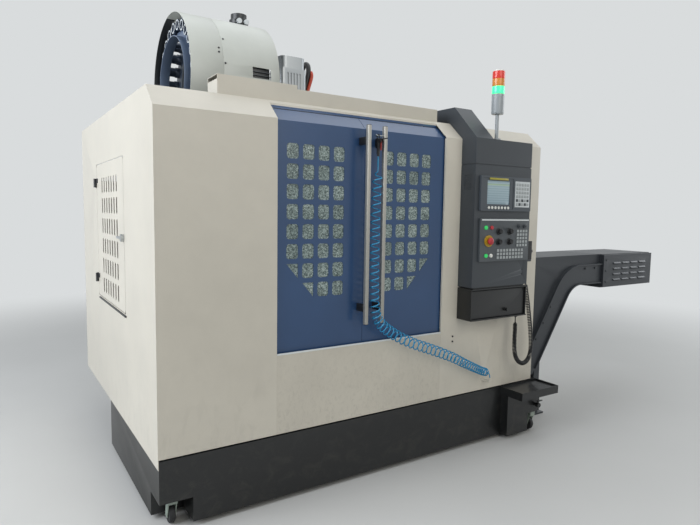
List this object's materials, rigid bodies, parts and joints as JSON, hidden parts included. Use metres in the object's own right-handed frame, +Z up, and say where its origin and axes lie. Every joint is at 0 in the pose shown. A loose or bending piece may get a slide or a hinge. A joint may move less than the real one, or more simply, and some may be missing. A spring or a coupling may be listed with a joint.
{
  "type": "cnc machining center",
  "caption": "Vertical machining centre with sliding punched-window doors, side service door, operator console, overhead tool magazine and chip conveyor.",
  "frame": {"origin": "on the floor, at the middle of the machine's outline seen from above, conveyor, side door hinges and rear cabinet included", "axes": "+X to the operator's right, +Y from the front panels to the back, +Z up"},
  "size_m": [4.019, 2.545, 2.863],
  "materials": {
    "cast_paint": "satin",
    "dark_sheet": "satin",
    "castor_fork": "satin",
    "castor_rubber": "matte",
    "cream_paint": "satin",
    "tray_steel": "satin",
    "console_paint": "textured",
    "display_grey": "matte",
    "lamp_column": "gloss",
    "cover_paint": "satin",
    "gearbox_iron": "matte",
    "pot_plastic": "satin",
    "arm_steel": "satin",
    "table_iron": "satin",
    "motor_alloy": "satin",
    "bellows_fabric": "matte",
    "blue_paint": "satin",
    "window_glass": "gloss",
    "handle_alloy": "satin",
    "black_plastic": "satin",
    "stop_red": "gloss",
    "button_green": "gloss",
    "button_white": "gloss",
    "hose_blue": "gloss",
    "trigger_red": "satin"
  },
  "bodies": {
    "machine_frame": {"base_casting": "cast_paint", "column": "cast_paint", "coolant_tank": "dark_sheet", "conveyor_case": "dark_sheet", "conveyor_cover": "dark_sheet", "left_panel": "cream_paint", "left_wall": "cream_paint", "front_sill": "cream_paint", "right_cabinet": "cream_paint", "top_cover": "cream_paint", "work_tray": "tray_steel", "electrical_cabinet": "cream_paint", "console_body": "console_paint", "console_hood": "console_paint", "storage_box": "console_paint", "display_unit": "display_grey", "operator_panel": "console_paint", "signal_tower": "lamp_column", "magazine_cover": "cover_paint", "magazine_frame": "gearbox_iron", "head_bellows": "bellows_fabric", "pendant": "console_paint", "pendant_cord": "black_plastic", "air_hose": "hose_blue"},
    "castor_left": {"castor_left": "castor_fork"},
    "wheel_left": {"wheel_left": "castor_rubber"},
    "castor_right": {"castor_right": "castor_fork"},
    "wheel_right": {"wheel_right": "castor_rubber"},
    "storage_flap": {"storage_flap": "console_paint"},
    "magazine_disc": {"magazine_disc": "pot_plastic"},
    "changer_arm": {"changer_arm": "arm_steel"},
    "saddle": {"saddle": "cast_paint"},
    "table": {"table": "table_iron"},
    "spindle_head": {"spindle_head": "cover_paint", "spindle_motor": "motor_alloy", "head_hoses": "black_plastic"},
    "spindle": {"spindle": "arm_steel"},
    "screw_x": {"screw_x": "arm_steel"},
    "screw_y": {"screw_y": "arm_steel"},
    "screw_z": {"screw_z": "arm_steel"},
    "door_left": {"door_left": "blue_paint", "pane_left": "window_glass", "handle_left": "handle_alloy"},
    "door_right": {"door_right": "blue_paint", "pane_right": "window_glass", "handle_right": "handle_alloy", "air_gun": "black_plastic"},
    "gun_trigger": {"gun_trigger": "trigger_red"},
    "side_door": {"side_door": "cream_paint"},
    "side_latch": {"side_latch": "black_plastic"},
    "emergency_stop": {"emergency_stop": "stop_red"},
    "feed_knob": {"feed_knob": "black_plastic"},
    "rapid_knob": {"rapid_knob": "black_plastic"},
    "speed_knob": {"speed_knob": "black_plastic"},
    "mode_knob": {"mode_knob": "black_plastic"},
    "power_on": {"power_on": "button_green"},
    "power_off": {"power_off": "stop_red"},
    "cycle_start": {"cycle_start": "button_green"},
    "feed_hold": {"feed_hold": "button_white"},
    "pendant_wheel": {"pendant_wheel": "arm_steel"}
  },
  "joints": [
    {"name": "saddle_slide", "type": "slide", "parent": "machine_frame", "child": "saddle", "axis": [0, 1, 0], "range_m": [-0.25, 0.25]},
    {"name": "table_slide", "type": "slide", "parent": "saddle", "child": "table", "axis": [1, 0, 0], "range_m": [-0.4, 0.4]},
    {"name": "head_slide", "type": "slide", "parent": "machine_frame", "child": "spindle_head", "axis": [0, 0, 1], "range_m": [-0.55, 0], "deforming": ["head_bellows"]},
    {"name": "spindle_spin", "type": "hinge", "parent": "spindle_head", "child": "spindle", "pos_m": [-0.8455, -0.0875, 1.62], "axis": [0, 0, 1], "continuous": true},
    {"name": "screw_x_spin", "type": "hinge", "parent": "saddle", "child": "screw_x", "pos_m": [-0.8455, -0.0875, 0.7343], "axis": [1, 0, 0], "continuous": true},
    {"name": "screw_y_spin", "type": "hinge", "parent": "machine_frame", "child": "screw_y", "pos_m": [-0.8455, -0.0875, 0.618], "axis": [0, 1, 0], "continuous": true},
    {"name": "screw_z_spin", "type": "hinge", "parent": "machine_frame", "child": "screw_z", "pos_m": [-0.8455, 0.4425, 1.5], "axis": [0, 0, 1], "continuous": true},
    {"name": "magazine_spin", "type": "hinge", "parent": "machine_frame", "child": "magazine_disc", "pos_m": [-1.4905, 0.0645, 2.303], "axis": [1, 0, 0], "continuous": true},
    {"name": "arm_swing", "type": "hinge", "parent": "machine_frame", "child": "changer_arm", "pos_m": [-1.2055, -0.0275, 1.57], "axis": [0, 0, 1], "range_deg": [0, 270]},
    {"name": "door_left_slide", "type": "slide", "parent": "machine_frame", "child": "door_left", "axis": [-1, 0, 0], "range_m": [0, 0.45]},
    {"name": "door_right_slide", "type": "slide", "parent": "machine_frame", "child": "door_right", "axis": [1, 0, 0], "range_m": [0, 0.45]},
    {"name": "gun_trigger_squeeze", "type": "hinge", "parent": "door_right", "child": "gun_trigger", "pos_m": [-0.8385, -1.1725, 1.8763], "axis": [1, 0, 0], "range_deg": [0, 9], "stiffness_Nm_per_rad": 0.3, "springref_deg": -2.86},
    {"name": "side_door_swing", "type": "hinge", "parent": "machine_frame", "child": "side_door", "pos_m": [-2.0005, 0.3645, 1.35], "axis": [0, 0, 1], "range_deg": [-110, 0]},
    {"name": "side_latch_turn", "type": "hinge", "parent": "side_door", "child": "side_latch", "pos_m": [-1.9905, -0.4355, 1.34178], "axis": [1, 0, 0], "range_deg": [-90, 0]},
    {"name": "storage_flap_swing", "type": "hinge", "parent": "machine_frame", "child": "storage_flap", "pos_m": [0.0735, -1.1935, 1.028], "axis": [1, 0, 0], "range_deg": [-95, 0]},
    {"name": "castor_left_swivel", "type": "hinge", "parent": "machine_frame", "child": "castor_left", "pos_m": [-1.9105, -1.0125, 0.14], "axis": [0, 0, 1], "continuous": true},
    {"name": "wheel_left_roll", "type": "hinge", "parent": "castor_left", "child": "wheel_left", "pos_m": [-1.9105, -0.9885, 0.045], "axis": [1, 0, 0], "continuous": true},
    {"name": "castor_right_swivel", "type": "hinge", "parent": "machine_frame", "child": "castor_right", "pos_m": [0.5395, -1.1075, 0.14], "axis": [0, 0, 1], "continuous": true},
    {"name": "wheel_right_roll", "type": "hinge", "parent": "castor_right", "child": "wheel_right", "pos_m": [0.5395, -1.0835, 0.045], "axis": [1, 0, 0], "continuous": true},
    {"name": "emergency_stop_press", "type": "slide", "parent": "machine_frame", "child": "emergency_stop", "axis": [0, 1, 0], "range_m": [0, 0.004], "stiffness_N_per_m": 1500, "springref_m": -0.003},
    {"name": "power_on_press", "type": "slide", "parent": "machine_frame", "child": "power_on", "axis": [0, 1, 0], "range_m": [0, 0.004], "stiffness_N_per_m": 600, "springref_m": -0.003},
    {"name": "power_off_press", "type": "slide", "parent": "machine_frame", "child": "power_off", "axis": [0, 1, 0], "range_m": [0, 0.004], "stiffness_N_per_m": 600, "springref_m": -0.003},
    {"name": "cycle_start_press", "type": "slide", "parent": "machine_frame", "child": "cycle_start", "axis": [0, 1, 0], "range_m": [0, 0.004], "stiffness_N_per_m": 600, "springref_m": -0.003},
    {"name": "feed_hold_press", "type": "slide", "parent": "machine_frame", "child": "feed_hold", "axis": [0, 1, 0], "range_m": [0, 0.004], "stiffness_N_per_m": 600, "springref_m": -0.003},
    {"name": "feed_knob_turn", "type": "hinge", "parent": "machine_frame", "child": "feed_knob", "pos_m": [0.0285, -1.2195, 1.394], "axis": [0, 1, 0], "range_deg": [-135, 135]},
    {"name": "rapid_knob_turn", "type": "hinge", "parent": "machine_frame", "child": "rapid_knob", "pos_m": [0.1245, -1.2195, 1.394], "axis": [0, 1, 0], "range_deg": [-60, 60]},
    {"name": "speed_knob_turn", "type": "hinge", "parent": "machine_frame", "child": "speed_knob", "pos_m": [0.0285, -1.2195, 1.33], "axis": [0, 1, 0], "range_deg": [-120, 120]},
    {"name": "mode_knob_turn", "type": "hinge", "parent": "machine_frame", "child": "mode_knob", "pos_m": [0.1245, -1.2195, 1.33], "axis": [0, 1, 0], "range_deg": [-90, 90]},
    {"name": "pendant_wheel_turn", "type": "hinge", "parent": "machine_frame", "child": "pendant_wheel", "pos_m": [0.3735, -1.1635, 1.262], "axis": [1, 0, 0], "continuous": true}
  ],
  "couplings": [
    {"joint": "screw_x_spin", "follows": "table_slide", "rad_per_m": 523.6},
    {"joint": "screw_y_spin", "follows": "saddle_slide", "rad_per_m": 523.6},
    {"joint": "screw_z_spin", "follows": "head_slide", "rad_per_m": 523.6}
  ]
}
